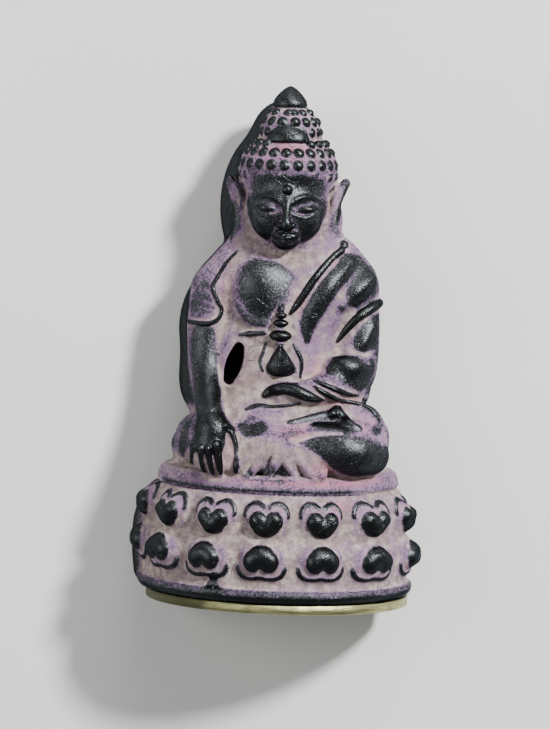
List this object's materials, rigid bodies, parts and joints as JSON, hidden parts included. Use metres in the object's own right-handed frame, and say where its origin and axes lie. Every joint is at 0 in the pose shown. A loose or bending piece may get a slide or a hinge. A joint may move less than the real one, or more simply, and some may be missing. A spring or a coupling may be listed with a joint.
{
  "type": "cast amulet figure",
  "caption": "Small hollow cast amulet: a seated figure in meditation on a double lotus throne, closed underneath by a thin brass plate.",
  "frame": {"origin": "middle of the amulet's length and width, on the surface that its flat back lies on", "axes": "+X across the amulet, to the right of someone looking at its front; +Y from the base plate up to the finial; +Z from the back to the front, which is upwards as it lies"},
  "size_m": [0.0208, 0.0372, 0.0127],
  "materials": {
    "patinated_bronze": "black patina, worn and shiny on what stands proud, with dry pinkish-cream residue in the hollows",
    "brass_plate": "filed and rubbed brass, tarnished towards its edge"
  },
  "bodies": {
    "root": {"casting": "patinated_bronze", "base_plate": "brass_plate"}
  },
  "joints": []
}
